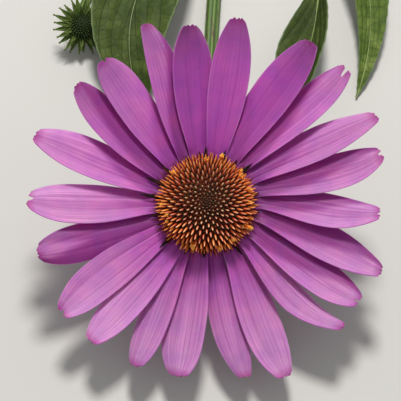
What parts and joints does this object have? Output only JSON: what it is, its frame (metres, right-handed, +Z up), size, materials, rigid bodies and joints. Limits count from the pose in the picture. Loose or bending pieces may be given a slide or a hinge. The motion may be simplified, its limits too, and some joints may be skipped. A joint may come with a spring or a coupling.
{
  "type": "cut purple coneflower stem",
  "caption": "Cut stem of purple coneflower lying down: a mauve-rayed bloom with an orange spiny cone, a side bud and toothed green leaves.",
  "frame": {"origin": "middle of the base of the part's box, on the surface that the stem lies on", "axes": "+Z up from the surface; +Y along the lying stem from the bloom to the cut end; +X to the right as the bloom is faced; the bloom's face looks up and leans 26 degrees towards -Y"},
  "size_m": [0.2091, 0.3211, 0.0606],
  "materials": {
    "petal": "matte",
    "cone": "satin",
    "bract": "matte",
    "stem": "matte",
    "leaf": "satin",
    "bud": "matte"
  },
  "bodies": {
    "root": {"cone": "cone", "ray_florets": "petal", "involucre": "bract", "stem": "stem", "bud": "bud", "leaf_1": "leaf", "leaf_2": "leaf", "leaf_3": "leaf", "leaf_4": "leaf", "leaf_5": "leaf"}
  },
  "joints": []
}
